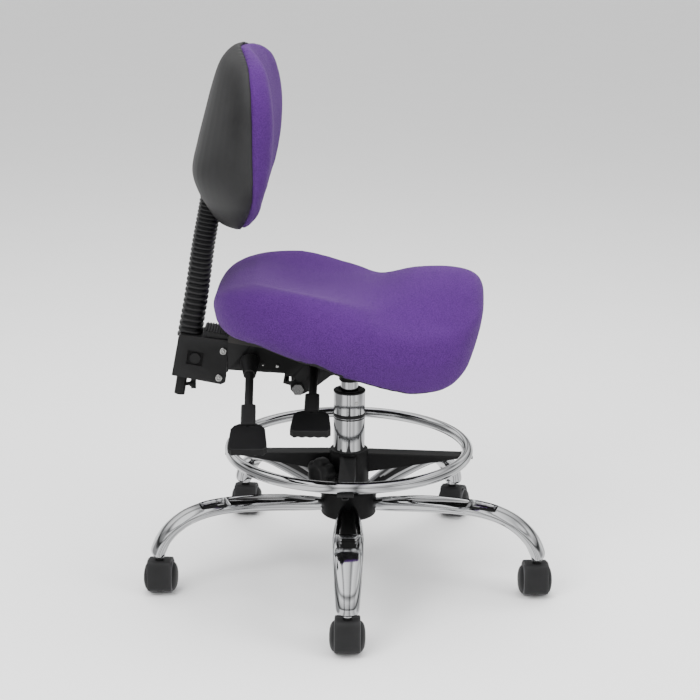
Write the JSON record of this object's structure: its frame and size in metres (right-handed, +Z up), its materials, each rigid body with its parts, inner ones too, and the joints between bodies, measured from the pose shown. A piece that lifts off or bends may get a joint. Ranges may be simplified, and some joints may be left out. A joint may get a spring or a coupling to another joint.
{
  "type": "saddle-seat swivel stool",
  "caption": "Height-adjustable saddle-seat stool with a tilting padded seat and backrest, side levers, gas lift, foot ring and a five-leg base on twin-wheel casters.",
  "frame": {"origin": "on the floor, under the axis of the column", "axes": "+Z up along the column; +X the way the sitter faces; +Y to the sitter's left, away from the levers"},
  "size_m": [0.6506, 0.6252, 0.858],
  "materials": {
    "chrome": "polished",
    "steel": "satin",
    "black_metal": "satin black",
    "black_plastic": "moulded, lightly textured",
    "shell_plastic": "dark grey, satin",
    "hood_plastic": "dark grey, satin",
    "tread": "matt grey",
    "rubber": "matt",
    "ply": "black-stained plywood",
    "fabric": "purple, fine pebbled texture"
  },
  "bodies": {
    "base": {"base_hub": "black_metal", "leg_1": "chrome", "leg_2": "chrome", "leg_3": "chrome", "leg_4": "chrome", "leg_5": "chrome", "hub_cover": "black_plastic", "column_tube": "chrome", "seal_ring": "rubber", "guide_bush": "black_plastic", "thrust_bearing": "steel"},
    "spindle": {"piston_rod": "steel"},
    "carrier": {"pressure_tube": "chrome", "chassis": "black_metal", "pivot_bolt": "steel"},
    "release_pin": {"valve_pin": "steel"},
    "lift_lever_arm": {"lift_lever": "black_metal", "lift_paddle": "black_plastic"},
    "seat": {"seat_channel": "black_metal", "seat_board": "ply", "seat_cushion": "fabric", "seat_screws": "steel"},
    "tilt_lever_arm": {"tilt_lever": "black_metal", "tilt_paddle": "black_plastic", "tilt_boot": "rubber"},
    "back_carrier": {"back_bracket": "black_metal", "bracket_pins": "steel", "top_cover": "black_plastic", "bellows": "rubber"},
    "height_knob_turn": {"height_knob": "black_plastic"},
    "backrest": {"back_bar": "black_metal", "bar_stop_screw": "steel", "back_screws": "steel", "back_shell": "shell_plastic", "back_cushion": "fabric"},
    "ring_sleeve": {"clamp_sleeve": "black_plastic"},
    "ring": {"foot_ring": "chrome", "ring_spider": "black_metal", "ring_screws": "steel"},
    "ring_knob": {"clamp_knob": "black_plastic"},
    "caster_1": {"caster_hood_1": "hood_plastic", "caster_pins_1": "steel"},
    "wheel_1_right": {"caster_wheel_1_right": "tread"},
    "wheel_1_left": {"caster_wheel_1_left": "tread"},
    "caster_2": {"caster_hood_2": "hood_plastic", "caster_pins_2": "steel"},
    "wheel_2_right": {"caster_wheel_2_right": "tread"},
    "wheel_2_left": {"caster_wheel_2_left": "tread"},
    "caster_3": {"caster_hood_3": "hood_plastic", "caster_pins_3": "steel"},
    "wheel_3_right": {"caster_wheel_3_right": "tread"},
    "wheel_3_left": {"caster_wheel_3_left": "tread"},
    "caster_4": {"caster_hood_4": "hood_plastic", "caster_pins_4": "steel"},
    "wheel_4_right": {"caster_wheel_4_right": "tread"},
    "wheel_4_left": {"caster_wheel_4_left": "tread"},
    "caster_5": {"caster_hood_5": "hood_plastic", "caster_pins_5": "steel"},
    "wheel_5_right": {"caster_wheel_5_right": "tread"},
    "wheel_5_left": {"caster_wheel_5_left": "tread"}
  },
  "joints": [
    {"name": "swivel", "type": "hinge", "parent": "base", "child": "spindle", "pos_m": [0, 0, 0], "axis": [0, 0, 1], "continuous": true},
    {"name": "seat_height", "type": "slide", "parent": "spindle", "child": "carrier", "axis": [0, 0, 1], "range_m": [0, 0.13]},
    {"name": "lift_lever_pull", "type": "hinge", "parent": "carrier", "child": "lift_lever_arm", "pos_m": [-0.0555, -0.04, 0.362], "axis": [-1, 0, 0], "range_deg": [0, 6], "stiffness_Nm_per_rad": 0.5},
    {"name": "release_pin_press", "type": "slide", "parent": "carrier", "child": "release_pin", "axis": [0, 0, 1], "range_m": [-0.0042, 0]},
    {"name": "seat_tilt", "type": "hinge", "parent": "carrier", "child": "seat", "pos_m": [-0.081, 0, 0.327], "axis": [0, -1, 0], "range_deg": [-3, 12]},
    {"name": "tilt_lever_pull", "type": "hinge", "parent": "seat", "child": "tilt_lever_arm", "pos_m": [-0.156, -0.04, 0.375], "axis": [-1, 0, 0], "range_deg": [0, 10], "stiffness_Nm_per_rad": 0.5},
    {"name": "back_recline", "type": "hinge", "parent": "seat", "child": "back_carrier", "pos_m": [-0.1985, 0, 0.385], "axis": [0, -1, 0], "range_deg": [-3, 18]},
    {"name": "height_knob_spin", "type": "hinge", "parent": "back_carrier", "child": "height_knob_turn", "pos_m": [-0.24, 0.04, 0.374], "axis": [0, 1, 0], "continuous": true},
    {"name": "back_height", "type": "slide", "parent": "back_carrier", "child": "backrest", "axis": [0.1685, 0, 0.9857], "range_m": [-0.06, 0.005], "deforming": ["bellows"]},
    {"name": "ring_height", "type": "slide", "parent": "base", "child": "ring_sleeve", "axis": [0, 0, 1], "range_m": [0, 0.045]},
    {"name": "ring_turn", "type": "hinge", "parent": "ring_sleeve", "child": "ring", "pos_m": [0, 0, 0.186], "axis": [0, 0, 1], "continuous": true},
    {"name": "ring_knob_spin", "type": "hinge", "parent": "ring", "child": "ring_knob", "pos_m": [-0.03641, -0.03279, 0.186], "axis": [-0.7431, -0.6691, 0], "continuous": true},
    {"name": "caster_1_swivel", "type": "hinge", "parent": "base", "child": "caster_1", "pos_m": [0, -0.314, 0.066], "axis": [0, 0, 1], "continuous": true},
    {"name": "wheel_1_right_roll", "type": "hinge", "parent": "caster_1", "child": "wheel_1_right", "pos_m": [0, -0.2975, 0.025], "axis": [1, 0, 0], "continuous": true},
    {"name": "wheel_1_left_roll", "type": "hinge", "parent": "caster_1", "child": "wheel_1_left", "pos_m": [0, -0.2975, 0.025], "axis": [1, 0, 0], "continuous": true},
    {"name": "caster_2_swivel", "type": "hinge", "parent": "base", "child": "caster_2", "pos_m": [0.29863, -0.09703, 0.066], "axis": [0, 0, 1], "continuous": true},
    {"name": "wheel_2_right_roll", "type": "hinge", "parent": "caster_2", "child": "wheel_2_right", "pos_m": [0.29834, -0.08053, 0.025], "axis": [0.9998, 0.0175, 0], "continuous": true},
    {"name": "wheel_2_left_roll", "type": "hinge", "parent": "caster_2", "child": "wheel_2_left", "pos_m": [0.29834, -0.08053, 0.025], "axis": [0.9998, 0.0175, 0], "continuous": true},
    {"name": "caster_3_swivel", "type": "hinge", "parent": "base", "child": "caster_3", "pos_m": [0.18457, 0.25403, 0.066], "axis": [0, 0, 1], "continuous": true},
    {"name": "wheel_3_right_roll", "type": "hinge", "parent": "caster_3", "child": "wheel_3_right", "pos_m": [0.18939, 0.26981, 0.025], "axis": [0.9563, -0.2924, 0], "continuous": true},
    {"name": "wheel_3_left_roll", "type": "hinge", "parent": "caster_3", "child": "wheel_3_left", "pos_m": [0.18939, 0.26981, 0.025], "axis": [0.9563, -0.2924, 0], "continuous": true},
    {"name": "caster_4_swivel", "type": "hinge", "parent": "base", "child": "caster_4", "pos_m": [-0.18457, 0.25403, 0.066], "axis": [0, 0, 1], "continuous": true},
    {"name": "wheel_4_right_roll", "type": "hinge", "parent": "caster_4", "child": "wheel_4_right", "pos_m": [-0.18341, 0.27049, 0.025], "axis": [0.9976, -0.0698, 0], "continuous": true},
    {"name": "wheel_4_left_roll", "type": "hinge", "parent": "caster_4", "child": "wheel_4_left", "pos_m": [-0.18341, 0.27049, 0.025], "axis": [0.9976, -0.0698, 0], "continuous": true},
    {"name": "caster_5_swivel", "type": "hinge", "parent": "base", "child": "caster_5", "pos_m": [-0.29863, -0.09703, 0.066], "axis": [0, 0, 1], "continuous": true},
    {"name": "wheel_5_right_roll", "type": "hinge", "parent": "caster_5", "child": "wheel_5_right", "pos_m": [-0.29834, -0.08053, 0.025], "axis": [0.9998, -0.0175, 0], "continuous": true},
    {"name": "wheel_5_left_roll", "type": "hinge", "parent": "caster_5", "child": "wheel_5_left", "pos_m": [-0.29834, -0.08053, 0.025], "axis": [0.9998, -0.0175, 0], "continuous": true}
  ],
  "couplings": [
    {"joint": "release_pin_press", "follows": "lift_lever_pull", "m_per_rad": -0.04}
  ]
}
